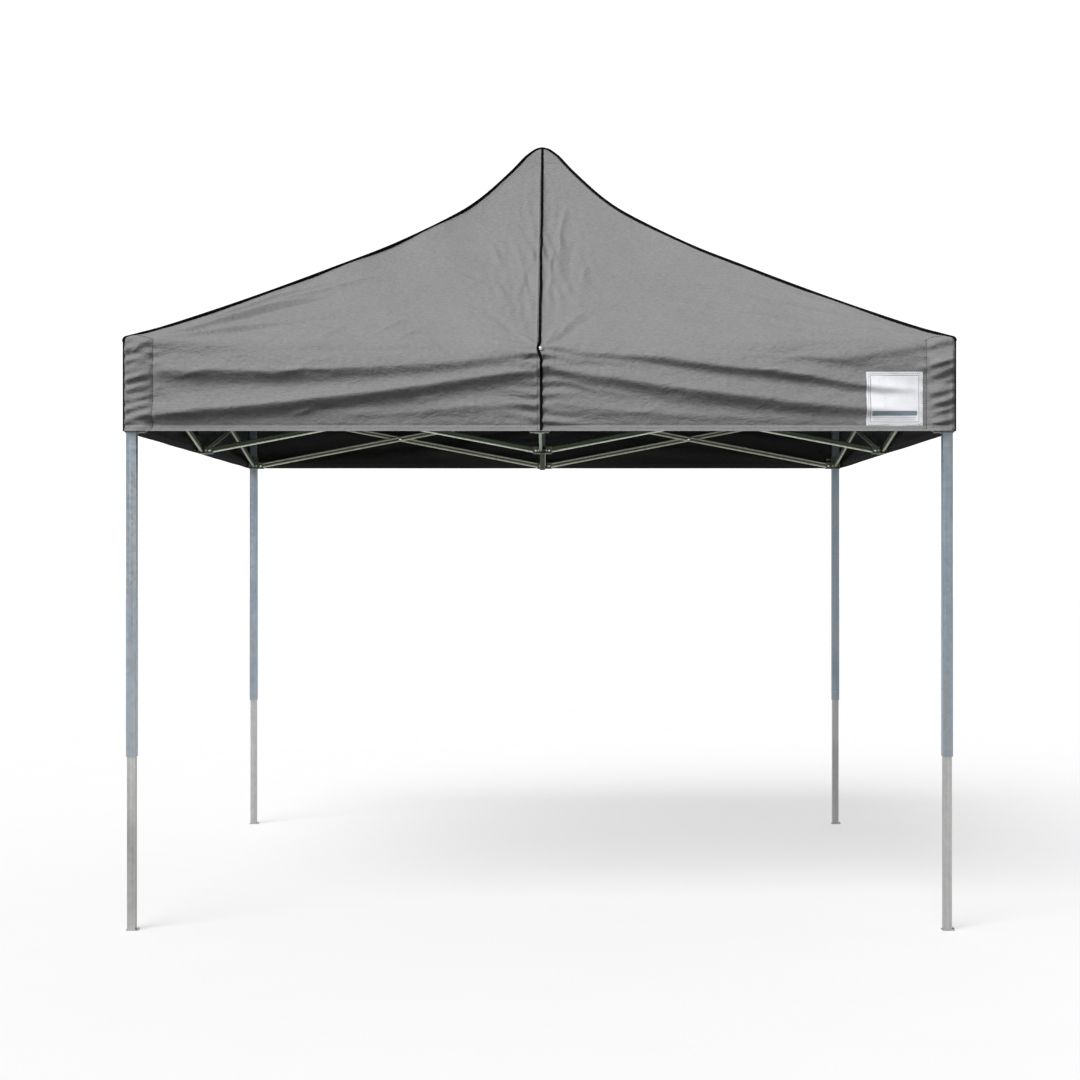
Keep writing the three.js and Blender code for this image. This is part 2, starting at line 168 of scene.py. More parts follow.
# Short sharp creases: two ends as (x, z), height and width, in millimetres.
FRONT_CREASES = in_metres([
    ((-62, 2052), (-10, 2076), -5.5, 4.5),
    ((-58, 2041), (-20, 2042), -7, 4.5),
    ((-950, 2008), (-830, 2026), 8, 8),
    ((-860, 2014), (-740, 2006), -7, 7),
    ((-1060, 2018), (-900, 1996), 5, 10),
    ((-1280, 2010), (-1120, 2030), 6, 12),
    ((-1350, 1992), (-1180, 2012), 6, 10),
    ((-900, 1856), (-800, 1884), 8, 7),
    ((-830, 1880), (-700, 1884), -6, 7),
    ((-720, 1866), (-560, 1872), 4, 10),
    ((790, 2018), (900, 2021), 8, 7),
    ((840, 2004), (980, 1996), 5, 9),
    ((740, 2088), (1150, 2045), 5, 12),
    ((60, 2045), (400, 2020), -4, 12),
    ((100, 1975), (240, 1932), 6, 8),
    ((160, 1962), (340, 1922), 4, 9),
    ((400, 1925), (620, 1900), 4, 14),
    ((-320, 1887), (-180, 1900), 5, 7),
    ((300, 1865), (420, 1874), 4, 8),
    ((-460, 1898), (-340, 1934), 4, 9),
    ((-1470, 1858), (-1200, 1862), 7, 8),
    ((-1490, 1828), (-1370, 1838), 5, 7),
    ((-1490, 1905), (-1385, 1930), 7, 8),
    ((-1490, 1950), (-1410, 1975), 6, 7),
    ((-1490, 1988), (-1420, 2000), 6, 7),
    ((-1480, 2030), (-1420, 2048), 5, 8),
    ((-1475, 2075), (-1430, 2108), 6, 8),
    ((-1400, 1885), (-1330, 1892), 5, 8),
    ((-1400, 1955), (-1340, 1962), 5, 8),
    ((-1400, 2045), (-1340, 2050), 4, 8),
    ((1400, 2033), (1497, 2063), 5, 8),
    ((1410, 1995), (1490, 2004), 6, 8),
    ((1410, 1955), (1470, 1962), 6, 7),
    ((1410, 1905), (1485, 1900), 6, 8),
    ((1410, 1868), (1470, 1876), 5, 7),
    ((1410, 1832), (1490, 1838), 5, 7),
])

# Creases on the roof: two ends as (x, way up the roof from the eave), height and width, in millimetres.
RIVET_CREASES = in_metres([
    ((-12, 12), (-100, 170), 8, 13),
    ((-30, 20), (-210, 360), -6, 17),
    ((-12, 4), (-220, 75), 5.5, 13),
    ((-12, -6), (-170, 10), -4.5, 11),
    ((12, 14), (75, 200), 8, 12),
    ((20, 30), (190, 370), 7, 17),
    ((50, 60), (230, 330), -5.5, 16),
    ((12, 3), (200, 45), 5, 13),
    ((10, -10), (160, -30), -5, 11),
])
FRONT_ROOF_CREASES = in_metres([
    # drawn out from the right corner
    ((1410, 35), (760, 290), 7.5, 20),
    ((1380, 10), (800, 225), -6.5, 18),
    ((1260, 200), (940, 520), 6.2, 20),
    ((1380, 70), (880, 430), 8.5, 34),
    ((1200, 220), (720, 560), -5.5, 24),
    ((620, 45), (1330, 30), 5.5, 20),
    ((450, 460), (900, 220), 6, 20),
    # drawn out from the left corner
    ((-1380, 90), (-800, 620), 12, 17),
    ((-1390, 50), (-870, 470), 14, 15),
    ((-1300, 100), (-740, 520), -11, 15),
    ((-1400, 25), (-910, 220), 14, 14),
    ((-1300, 35), (-700, 300), -10, 18),
    ((-1050, 360), (-620, 700), 8, 16),
    ((-620, 100), (-500, 260), 6, 11),
    ((-520, 60), (-450, 170), 5, 10),
    ((-800, 80), (-720, 200), 5, 11),
    # beside the middle seam
    ((60, 850), (100, 1300), 8.5, 12),
    ((110, 620), (130, 1050), -7.5, 14),
    ((30, 550), (50, 950), 6.5, 10),
    ((160, 500), (170, 800), 6, 14),
    ((-70, 620), (-90, 980), 7.5, 11),
    ((-40, 480), (-50, 720), -6, 10),
    ((-130, 400), (-160, 620), 5.5, 14),
    ((-160, 780), (-200, 1020), 5.5, 14),
])


def smooth_line(xs, ys, at, reach=0.05):
    """ys over xs at each place, with the corners of the line rounded off."""
    fine = np.arange(-1.7, 1.7, 0.01)
    values = np.interp(fine, xs, ys)
    kernel = np.exp(-(np.arange(-12, 13) * 0.01 / reach) ** 2)
    return np.interp(at, fine, np.convolve(np.pad(values, 12, "edge"), kernel / kernel.sum(), "valid"))


def fold(x, q, eave, points, upper, lower, bend):
    """A rounded fold: it rises gently from above and drops quickly below."""
    px, pz, height = np.array(points, float).T
    crest = smooth_line(px, pz, x) - eave
    tall = smooth_line(px, height, x, 0.04)
    tall = np.where((x < px[0]) | (x > px[-1]), 0, tall)
    s = q - crest
    slim = np.clip(tall / height.max(), 0.3, 1) ** 0.5
    above = (1 - ramp(s, slim * upper)) ** bend
    return tall * np.where(s > 0, above, bell(s, slim * lower))


def crease(x, q, start, end, height, width):
    """A straight crease that is sharp in the middle and fades at its ends."""
    a, b = np.array(start, float), np.array(end, float)
    d = b - a
    t = ((x - a[0]) * d[0] + (q - a[1]) * d[1]) / (d @ d)
    off = ((x - a[0]) * -d[1] + (q - a[1]) * d[0]) / np.linalg.norm(d)
    off = off + 0.012 * np.linalg.norm(d) * np.sin(2.2 * np.pi * t + 9 * a[0])
    inside = np.clip(t, 0, 1)
    ends = np.sin(np.pi * inside) ** 0.7 * bell((t - inside) * np.linalg.norm(d), width)
    return height * ends * np.exp(-np.abs(off / width) ** 1.6)


def waves(x, q, seed, count, lengths, angle, spread, height):
    """Soft uneven waves: several sines of different length and direction."""
    rng = np.random.default_rng(seed)
    total = np.zeros(np.shape(x))
    for _ in range(count):
        length = rng.uniform(*lengths)
        way = angle + rng.uniform(-spread, spread)
        phase = rng.uniform(0, 2 * np.pi)
        drift = rng.uniform(0.5, 1.5) * np.sin(q / length * 0.7 + phase)
        total += np.sin(2 * np.pi * (x * math.cos(way) + q * math.sin(way)) / length + phase + drift)
    return height * total / math.sqrt(count)


def side_folds(side):
    """The folds and creases of one side. The rear and the sides have changed copies of the front's."""
    if side == 0:
        return FRONT_FOLDS + STRIP_FOLDS, FRONT_CREASES, FRONT_ROOF_CREASES
    rng = np.random.default_rng(40 + side)
    flip = -1 if side in (1, 2) else 1
    folds = []
    for points, upper, lower, bend in FRONT_FOLDS:
        drop, grow = rng.uniform(-0.012, 0.012), rng.uniform(0.75, 1.15)
        moved = []
        for x, z, height in points:
            lift = drop * (1 - abs(x) / 1.5) + 0.006 * math.sin(5 * x + side)
            moved.append((flip * x, z + lift, grow * height))
        folds.append((sorted(moved), upper * rng.uniform(0.9, 1.2), lower * rng.uniform(0.95, 1.15), bend))
    creases, roof = [], []
    for source, target in ((FRONT_CREASES, creases), (FRONT_ROOF_CREASES, roof)):
        for (x0, z0), (x1, z1), height, width in source:
            shift, lift = rng.uniform(-0.06, 0.06), rng.uniform(-0.01, 0.01)
            ends = (flip * x0 + shift, z0 + lift), (flip * x1 + shift, z1 + lift)
            target.append((*ends, height * rng.uniform(0.6, 1.1), width))
    return folds, creases, roof


# the other sides are seen edge on at the front's corners, so their hems and strips stay flatter
CALM = (1, 0.3, 0.3, 0.3)


def placed_folds(side, x, q, along):
    """The folds and creases that are placed one by one."""
    folds, creases, roof_creases = side_folds(side)
    total = sum(fold(x, q, eave_height(along), *each) for each in folds)
    for start, end, height, width in creases:
        on_front = [(x0, z0 - float(eave_height(x0 / HALF))) for x0, z0 in (start, end)]
        total += crease(x, q, *on_front, height, width)
    return total + sum(crease(x, q, *each) for each in RIVET_CREASES + roof_creases)


def loose_cloth(side, x, q, inward, on_valance, on_roof):
    """Soft waves, puckers at the seams, and the low ridge that the middle seam draws up on the roof."""
    total = np.zeros(np.shape(x))
    beside_seam = bell(x, 0.18) * bell(q - 0.75, 0.48)
    # seed, count, lengths, angle and its spread, height, and where
    for *wave, where in (
        (1, 6, (0.12, 0.34), 1.35, 0.35, 0.0019, on_valance),
        (6, 6, (0.05, 0.11), 1.3, 0.6, 0.0005, on_valance),
        (2, 6, (0.22, 0.60), 0.15, 0.6, 0.0026, on_roof),
        (7, 6, (0.07, 0.16), 0.4, 1.2, 0.0006, on_roof),
        (3, 5, (0.035, 0.07), 0.1, 0.25, 0.0026, on_roof * beside_seam),
    ):
        total += where * waves(x, q, 10 * side + wave[0], *wave[1:])
    away = np.abs(x)
    puckers = waves(x, q, 10 * side + 4, 4, (0.026, 0.046), 1.45, 0.2, 1.0)
    near_middle = np.clip(away / 0.016, 0.1, 1) * np.exp(-away / np.where(x > 0, 0.075, 0.048))
    near_corner_seam = np.exp(-np.abs(away - CORNER_SEAM) / 0.026)
    total += puckers * on_valance * (0.0095 * near_middle + 0.0030 * near_corner_seam)
    slanted = waves(x, q, 10 * side + 5, 4, (0.034, 0.060), 1.75, 0.15, 1.0)
    total += 0.0042 * CALM[side] * slanted * on_valance * ramp(away - CORNER_SEAM, 0.02)
    # the front's strips bulge; the right one does so beside its seam, so the rest of it turns from the light
    if side == 0:
        over_strip = ramp(away - CORNER_SEAM, HALF - CORNER_SEAM)
        right, left = 0.015 * np.sin(np.pi * over_strip**0.7), 0.011 * np.sin(np.pi * over_strip)
        total += on_valance * np.where(x > 0, right, left)
    return total + 0.017 * np.exp(-away / 0.17) * on_roof * np.sin(np.pi * ramp(inward, 0.95)) ** 0.8


def sewn_edges(side, x, q, along, to_hip, on_valance):
    """Lapped seams at the hips, middle and corners, the hem, and the patch at the rivet."""
    away = np.abs(x)
    total = 0.0020 * bell(to_hip - 0.014, 0.005) + 0.0022 * bell(away - 0.010, 0.0045)
    total -= 0.0042 * bell(away - CORNER_SEAM, 0.0055) * on_valance
    total += 0.0009 * ramp(away - CORNER_SEAM, 0.003) * on_valance
    # the hem kicks out below its stitching, with a thicker lip at the edge
    above_hem = q + eave_height(along) - HEM
    flare = CALM[side] * np.clip(to_hip / 0.06, 0.15, 1)
    total += flare * (0.0135 * (1 - ramp(above_hem, HEM_LINE)) + 0.0030 * (1 - ramp(above_hem, 0.006)))
    total -= 0.0022 * bell(above_hem - HEM_LINE - 0.001, 0.0026)
    # the square of cloth that is sewn behind the rivet, with its loose corner
    total += 0.0026 * ramp(0.068 - np.abs(x + 0.012), 0.004) * ramp(0.034 - np.abs(q + 0.042), 0.004)
    return total + 0.0075 * bell(x + 0.022, 0.012) * bell(q + 0.050, 0.008)


def stand_out(side, x, q, along, inward):
    """How far the cloth stands out from its smooth surface; q is the way from the eave, up or down (-)."""
    on_valance = 1 / (1 + np.exp(np.clip(q / 0.012, -30, 30)))
    to_hip = (1 - np.abs(along)) * HALF * (1 - inward)
    total = placed_folds(side, x, q, along)
    total += loose_cloth(side, x, q, inward, on_valance, 1 - on_valance)
    total += sewn_edges(side, x, q, along, to_hip, on_valance)
    # nothing cuts into the legs and brackets, in use or folded, and neighbouring sides meet at the corners
    floor = -0.012 + 0.0105 * ramp(np.abs(x) - 1.05, 0.12)
    total = np.where(total < floor, floor + 0.2 * (total - floor), total)
    total *= np.where(q > 0, ramp(0.94 - inward, 0.05), 1)
    return total * ramp(to_hip, 0.010 if side == 0 else 0.030)


# ---- the cloth of one side, as a grid of points ------------------------------

def spaced(stops, steps):
    """Values from each stop to the next, with the given step in each stretch."""
    out = [stops[0]]
    for a, b, step in zip(stops, stops[1:], steps):
        count = max(1, round(abs(b - a) / step))
        out += list(a + (b - a) * (np.arange(count) + 1) / count)
    return np.array(out)


# how much the eave is rounded: (distance from the middle, radius)
EAVE_RADIUS = [(0, 0.010), (0.05, 0.014), (0.30, 0.070), (1.10, 0.064), (1.40, 0.016), (HALF, 0.008)]


class Side:
    """Rows run from the hem over the eave to the crown patch, columns from one hip to the other."""

    def __init__(self, number):
        # the points are closest at the middle seam, the hem and the corner strips, and closer on the front
        fine = 1.0 if number == 0 else 1.3
        half = spaced([0, 0.12, 1.36, HALF], [0.0042 * fine, 0.0115 * fine, 0.0045 * fine]) / HALF
        self.along = np.concatenate([-half[:0:-1], half])
        strip = self.strip_reach(self.along * HALF) / HALF
        rise = spaced([HEM, HEM + 0.028, MIDDLE], [0.0028 * fine, 0.0058 * fine])
        over = np.linspace(0, 1, round(22 / fine) + 1)
        up = spaced([0, 0.35, 1], [0.0085 * fine, 0.012 * fine])[1:]
        rows = [self.row(np.zeros_like(self.along), share) for share in ((rise - HEM) / (MIDDLE - HEM))[:-1]]
        rows += [self.row(strip * share, 1) for share in over]
        self.strip_row = len(rows) - 1
        rows += [self.row(strip + (PATCH_FROM + 0.004 - strip) * share, 1) for share in up]
        x, out, z, q, inward = (np.array([r[k] for r in rows]) for k in range(5))
        along = np.broadcast_to(self.along, x.shape)
        self.q = q
        smooth = np.stack([x, -out, z], axis=-1)
        self.outward = self.normals(smooth)
        push = stand_out(number, x, q, along, inward)
        self.points = smooth + self.outward * push[..., None]
        self.normal = self.normals(self.points)
        self.flat = np.stack([x, q], axis=-1)

    @staticmethod
    def strip_reach(x):
        """How far the valance's piece of cloth runs in over the eave."""
        return np.clip(0.208 - VALANCE_KEEP * np.abs(x), 0.012, 0.12)

    def row(self, inward, share):
        """x, distance out, z and distance from the eave for one row; share is the height on the valance."""
        along = self.along
        eave = eave_height(along)
        out = HALF * (1 - inward)
        z = np.where(inward > 0, roof_height(inward, along), HEM + (eave - HEM) * share)
        q = np.where(inward > 0, inward * HALF * ROOF_PER_RUN, z - eave)
        radius = np.interp(np.abs(along * HALF), *zip(*EAVE_RADIUS))
        slope = (roof_height(np.full_like(along, 0.02), along) - eave) / (0.02 * HALF)
        length = np.hypot(1, slope)
        t = ramp(q + radius, 2 * radius)
        low_z = eave - radius
        high_out, high_z = HALF - radius / length, eave + radius * slope / length
        round_out = (1 - t) ** 2 * HALF + 2 * t * (1 - t) * HALF + t**2 * high_out
        round_z = (1 - t) ** 2 * low_z + 2 * t * (1 - t) * eave + t**2 * high_z
        near = np.abs(q) < radius
        out = np.where(near, round_out, out)
        z = np.where(near, round_z, z)
        return along * out, out, z, q, inward

    @staticmethod
    def normals(points):
        down, across = np.gradient(points, axis=0), np.gradient(points, axis=1)
        n = np.cross(across, down)
        return n / np.maximum(np.linalg.norm(n, axis=-1, keepdims=True), 1e-12)

    def at(self, along, q):
        """Points and normals on the cloth at each share along and distance up from the eave."""
        along, q = np.broadcast_arrays(np.asarray(along, float), np.asarray(q, float))
        column = np.interp(along, self.along, np.arange(len(self.along)))
        j = np.clip(column.astype(int), 0, len(self.along) - 2)
        v = column - j
        place, normal = [], []
        for jj, vv, qq in zip(j.ravel(), v.ravel(), q.ravel()):
            line = (1 - vv) * self.q[:, jj] + vv * self.q[:, jj + 1]
            row = np.interp(qq, line, np.arange(len(line)))
            i = min(int(row), len(line) - 2)
            u = row - i
            shares = np.outer([1 - u, u], [1 - vv, vv])[..., None]
            place.append((shares * self.points[i:i + 2, jj:jj + 2]).sum(axis=(0, 1)))
            normal.append((shares * self.normal[i:i + 2, jj:jj + 2]).sum(axis=(0, 1)))
        shape = along.shape + (3,)
        normal = np.array(normal).reshape(shape)
        return np.array(place).reshape(shape), normal / np.linalg.norm(normal, axis=-1, keepdims=True)


def turn(points, quarters):
    """The points turned about the middle of the canopy by quarter turns."""
    p = np.array(points, float)
    for _ in range(quarters % 4):
        p = np.stack([-p[..., 1], p[..., 0], p[..., 2]], axis=-1)
    return p


# ---- meshes ------------------------------------------------------------------

def make_mesh(name, points, faces, materials, face_slots=None, normals=None, uv=None, smooth=True):
    mesh = bpy.data.meshes.new(name)
    mesh.from_pydata([tuple(p) for p in points], [], [tuple(int(i) for i in f) for f in faces])
    for material in materials:
        mesh.materials.append(material)
    if face_slots is not None:
        mesh.polygons.foreach_set("material_index", np.array(face_slots, np.int32))
    mesh.polygons.foreach_set("use_smooth", np.full(len(mesh.polygons), smooth))
    if uv is not None:
        layer = mesh.uv_layers.new(name="cloth")
        corners = np.zeros(len(mesh.loops), np.int32)
        mesh.loops.foreach_get("vertex_index", corners)
        layer.data.foreach_set("uv", np.asarray(uv, np.float32)[corners].ravel())
    mesh.update()
    if normals is not None:
        mesh.normals_split_custom_set_from_vertices([tuple(n) for n in normals])
    obj = bpy.data.objects.new(name, mesh)
    bpy.context.scene.collection.objects.link(obj)
    return obj


def fix_facing(obj):
    """Turns all faces of a closed piece outward."""
    shape = bmesh.new()
    shape.from_mesh(obj.data)
    bmesh.ops.recalc_face_normals(shape, faces=shape.faces)
    shape.to_mesh(obj.data)
    shape.free()
    return obj


def grid_faces(rows, columns, start=0, flip=False):
    i, j = np.meshgrid(np.arange(rows - 1), np.arange(columns - 1), indexing="ij")
    a = (start + i * columns + j).ravel()
    quads = np.stack([a, a + 1, a + columns + 1, a + columns], axis=1)
    return quads[:, ::-1] if flip else quads


def loft_faces(rings, sides):
    """A skin over rings of points, with an end face on the first and the last ring."""
    faces = []
    for i in range(rings - 1):
        low, high = i * sides, (i + 1) * sides
        faces += [[low + j, low + k, high + k, high + j] for j, k in around(sides)]
    last = (rings - 1) * sides
    return faces + [list(range(sides))[::-1], list(range(last, last + sides))]


def around(count):
    """Each number and the next one, round a ring."""
    return [(j, (j + 1) % count) for j in range(count)]


def make_sheet(name, points, normals, outward, flat, materials, quarters, thick=CLOTH_THICK):
    """Cloth with an outer and an inner face and a rim between them, from a grid of points."""
    rows, columns = points.shape[:2]
    outer = points.reshape(-1, 3)
    n = normals.reshape(-1, 3)
    inner = outer - outward.reshape(-1, 3) * thick
    count = rows * columns
    faces = [grid_faces(rows, columns), grid_faces(rows, columns, count, flip=True)]
    edge = np.concatenate([
        np.arange(columns), np.arange(1, rows) * columns + columns - 1,
        (rows - 1) * columns + np.arange(columns - 2, -1, -1), np.arange(rows - 2, 0, -1) * columns,
    ])
    after = np.roll(edge, -1)
    faces.append(np.stack([after, edge, edge + count, after + count], axis=1))
    slots = np.concatenate([np.zeros(len(faces[0])), np.ones(len(faces[1])), np.zeros(len(faces[2]))])
    return make_mesh(
        name, turn(np.vstack([outer, inner]), quarters), np.vstack(faces), materials, slots.astype(int),
        turn(np.vstack([n, -n]), quarters), np.vstack([flat.reshape(-1, 2)] * 2),
    )


def make_tube(name, line, radius, material, sides=8):
    """A round cord along a line of points, closed at its ends."""
    line = np.array(line, float)
    ahead = np.gradient(line, axis=0)
    ahead /= np.linalg.norm(ahead, axis=1, keepdims=True)
    reference = np.array([0.31, 0.22, 0.92])
    side = np.cross(ahead, reference)
    side /= np.linalg.norm(side, axis=1, keepdims=True)
    up = np.cross(side, ahead)
    turns = np.arange(sides) * 2 * np.pi / sides
    ring = side[:, None] * np.cos(turns)[None, :, None] + up[:, None] * np.sin(turns)[None, :, None]
    width = np.broadcast_to(radius, len(line))[:, None, None]
    points = (line[:, None] + ring * width).reshape(-1, 3)
    return fix_facing(make_mesh(name, points, loft_faces(len(line), sides), [material]))


def stitches(line, normals, length=0.0056, gap=0.0022, radius=0.0010):
    """Points and faces of a row of stitches that lie on a line of the cloth."""
    line, normals = np.array(line, float), np.array(normals, float)
    walked = np.concatenate([[0], np.cumsum(np.linalg.norm(np.diff(line, axis=0), axis=1))])
    starts = np.arange(gap, walked[-1] - length, length + gap)
    points, faces = [], []

    def on(distance, values):
        return np.array([np.interp(distance, walked, values[:, k]) for k in range(3)])

    for s in starts:
        a, b = on(s, line), on(s + length, line)
        n = on(s + length / 2, normals)
        ahead = (b - a) / np.linalg.norm(b - a)
        aside = np.cross(n, ahead)
        lift = n * radius * 1.2
        base = len(points)
        middle = (a + b) / 2 + lift
        points += [a - n * radius * 0.3, middle + aside * radius, middle + lift * 0.5]
        points += [middle - aside * radius, b - n * radius * 0.3, middle - n * radius]
        for i, j in ((1, 2), (2, 3), (3, 5), (5, 1)):
            faces += [(base, base + j, base + i), (base + 4, base + i, base + j)]
    return points, faces


def lathe_shape(profile, sides, at, axis):
    """Points and faces of a turned piece: profile is (radius, height) along the axis from the bottom up."""
    z = np.array(axis, float) / np.linalg.norm(axis)
    x = np.cross(z, [0.3, 0.9, 0.2])
    x /= np.linalg.norm(x)
    y = np.cross(z, x)
    turns = np.arange(sides) * 2 * np.pi / sides
    ring = [x * math.cos(t) + y * math.sin(t) for t in turns]
    points = [np.array(at) + r * way + h * z for r, h in profile for way in ring]
    return points, loft_faces(len(profile), sides)


def merged(parts):
    """Several (points, faces) as one."""
    points, faces = [], []
    for p, f in parts:
        base = len(points)
        points += [tuple(v) for v in p]
        faces += [tuple(i + base for i in face) for face in f]
    return points, faces


# ---- materials ---------------------------------------------------------------

class Look:
    """A node material on a Principled shader."""

    def __init__(self, name, color, roughness, metallic=0.0, **sockets):
        self.material = bpy.data.materials.new(name)
        self.material.use_nodes = True
        self.tree = self.material.node_tree
        self.shader = self.tree.nodes["Principled BSDF"]
        self.shader.inputs["Base Color"].default_value = (*color, 1)
        self.shader.inputs["Roughness"].default_value = roughness
        self.shader.inputs["Metallic"].default_value = metallic
        for key, value in sockets.items():
            self.shader.inputs[key.replace("_", " ")].default_value = value
        self.color = color

    def node(self, kind, inputs=None, **settings):
        node = self.tree.nodes.new("ShaderNode" + kind)
        for key, value in settings.items():
            setattr(node, key, value)
        for key, value in (inputs or {}).items():
            socket = node.inputs[key]
            if isinstance(value, bpy.types.NodeSocket):
                self.tree.links.new(value, socket)
            else:
                socket.default_value = value
        return node

    def math(self, operation, a, b=0.0, clamp=False):
        return self.node("Math", {0: a, 1: b}, operation=operation, use_clamp=clamp).outputs[0]

    def place(self, scale=(1, 1, 1), uv=False):
        """Coordinates in metres, stretched by scale."""
        if uv:
            source = self.node("UVMap", uv_map="cloth").outputs["UV"]
        else:
            source = self.node("TexCoord").outputs["Object"]
        return self.node("Mapping", {"Vector": source, "Scale": scale}).outputs["Vector"]

    def noise(self, vector, scale, detail=4.0, rough=0.55, distortion=0.0):
        shape = {"Scale": scale, "Detail": detail, "Roughness": rough, "Distortion": distortion}
        return self.node("TexNoise", {"Vector": vector, **shape}).outputs["Fac"]

    def spread(self, value, low, high, to_low=0.0, to_high=1.0):
        inputs = {"Value": value, "From Min": low, "From Max": high, "To Min": to_low, "To Max": to_high}
        return self.node("MapRange", inputs).outputs["Result"]

    def vary(self, noise, low=0.0, high=1.0):
        """A noise's usual values spread from low to high."""
        return self.spread(noise, 0.3, 0.7, low, high)

    def tint(self, base, other, share):
        """Mixes two colours or colour sockets; 6, 7 and 2 are the node's own sockets for colours."""
        first, second = (c if isinstance(c, bpy.types.NodeSocket) else (*c, 1) for c in (base, other))
        return self.node("Mix", {0: share, 6: first, 7: second}, data_type="RGBA").outputs[2]

    def paint(self, color=None, roughness=None, heights=()):
        """Links the colour, the roughness and a chain of bumps, each as (height, strength, distance)."""
        if color is not None:
            self.tree.links.new(color, self.shader.inputs["Base Color"])
        if roughness is not None:
            self.tree.links.new(roughness, self.shader.inputs["Roughness"])
        normal = None
        for height, strength, distance in heights:
            bump = self.node("Bump", {"Height": height, "Strength": strength, "Distance": distance})
            if normal is not None:
                self.tree.links.new(normal, bump.inputs["Normal"])
            normal = bump.outputs["Normal"]
        if normal is not None:
            self.tree.links.new(normal, self.shader.inputs["Normal"])
        return self.material


def scaled(color, factor):
    return tuple(min(1.0, c * factor) for c in color)


def woven_cloth(name, color, roughness, crumple, gloss, uv=True):
    """Plain woven polyester: fine threads, slubs along both thread directions, faint crumples."""
    look = Look(name, color, roughness, Specular_IOR_Level=gloss)
    threads_across = look.noise(look.place((3, 420, 1), uv), 1.0, 2.0)
    threads_up = look.noise(look.place((420, 3, 1), uv), 1.0, 2.0)
    blotch = look.noise(look.place(uv=uv), 2.6, 4.0, 0.6)
    slub = look.math("ADD", look.vary(threads_across, -1, 1), look.vary(threads_up, -1, 1))
    grain = look.noise(look.place((55, 150, 1), uv), 1.0, 3.0, 0.65)
    shade = look.math("ADD", look.math("MULTIPLY", slub, 0.03), look.vary(blotch, -0.08, 0.08))
    shade = look.math("ADD", shade, look.vary(grain, -0.30, 0.30))
    paint = look.tint(scaled(color, 0.80), scaled(color, 1.20), look.math("ADD", shade, 0.5, clamp=True))
    thread = {"Vector": look.place(uv=uv), "Scale": 330, "Distortion": 0.6, "Detail": 1, "Detail Scale": 2}
    weft, warp = (look.node("TexWave", thread, bands_direction=way).outputs["Fac"] for way in "XY")
    weave = look.math("MULTIPLY", weft, warp)
    wrinkle = look.noise(look.place((6, 10, 1), uv), 1.0, 6.0, 0.6, 0.9)
    fine = look.noise(look.place((26, 46, 1), uv), 1.0, 4.0, 0.6, 0.8)
    rough = look.vary(blotch, roughness - 0.05, roughness + 0.06)
    heights = [(wrinkle, crumple, 0.014), (fine, crumple, 0.005), (grain, 0.5, 0.0008), (weave, 0.25, 0.0003)]
    return look.paint(paint, rough, heights)


def galvanised(name, color, roughness, streak=1.0, grime=0.0, painted_sky_blue=0.0):
    """Zinc-plated steel tube: drawn streaks along its length, faint spangle, darker rubbed patches, and blue
    patches that are a painted reflection of the sky.
    """
    look = Look(name, color, roughness, 0.85)
    streaks = look.noise(look.place((160, 160, 1.6)), 1.0, 4.0, 0.6)
    spangle = look.node("TexVoronoi", {"Vector": look.place(), "Scale": 70.0}, feature="F1").outputs["Color"]
    crystal = look.node("SeparateColor", {"Color": spangle}).outputs[0]
    patch = look.noise(look.place((1, 1, 0.35)), 7.0, 5.0, 0.6)
    shade = look.math("ADD", look.spread(streaks, 0.35, 0.65, -0.16 * streak, 0.16 * streak),
                      look.math("MULTIPLY", look.math("SUBTRACT", crystal, 0.5), 0.14))
    paint = look.tint(scaled(color, 0.72), scaled(color, 1.28), look.math("ADD", shade, 0.5, clamp=True))
    # painted reflection: blue patches stand in for the sky mirrored in the zinc
    if painted_sky_blue:
        sky_reflection_tint = (color[0] * 0.86, color[1], color[2] * 1.14)
        paint = look.tint(paint, sky_reflection_tint, look.spread(patch, 0.42, 0.6, 0, painted_sky_blue))
    dirt = look.spread(patch, 0.52, 0.70, 0.0, 0.25 + grime)
    paint = look.tint(paint, scaled(color, 0.45), dirt)
    scratch = look.noise(look.place((900, 900, 5)), 1.0, 2.0, 0.5)
    rough = look.math("ADD", look.vary(streaks, roughness - 0.08, roughness + 0.10),
                      look.math("MULTIPLY", look.math("SUBTRACT", crystal, 0.5), 0.10))
    return look.paint(paint, rough, [(streaks, 0.20, 0.0006), (scratch, 0.15, 0.0002)])


def bar_steel(name, lit_flange, shaded_web, low, high, top):
    """Plated bar: bright rolled edges as a painted highlight, and a grey-green side between them darkened
    with painted shade.
    """
    look = Look(name, lit_flange, 0.38, 0.85)
    uv = look.node("UVMap", uv_map="cloth").outputs["UV"]
    height = look.node("SeparateXYZ", {"Vector": uv}).outputs["Y"]
    streaks = look.noise(look.place((2.5, 26, 1), uv=True), 1.0, 4.0, 0.6)
    uneven = look.math("ADD", height, look.vary(streaks, -0.03, 0.03))
    # painted shade: the band between the rolled edges is darkened, and the edges keep the bright colour as a
    # painted highlight
    painted_shade_band = look.math("MULTIPLY", look.spread(uneven, low, high), look.spread(uneven, top, top - 0.05))
    mottle = look.noise(look.place(), 60.0, 5.0, 0.6)
    paint = look.tint(lit_flange, shaded_web, painted_shade_band)
    paint = look.tint(paint, scaled(shaded_web, 0.5), look.spread(mottle, 0.45, 0.75, 0, 0.4))
    paint = look.tint(paint, scaled(lit_flange, 1.3), look.spread(streaks, 0.55, 0.75, 0, 0.25))
    rough = look.vary(mottle, 0.30, 0.50)
    return look.paint(paint, rough, [(mottle, 0.2, 0.0004), (streaks, 0.2, 0.0004)])


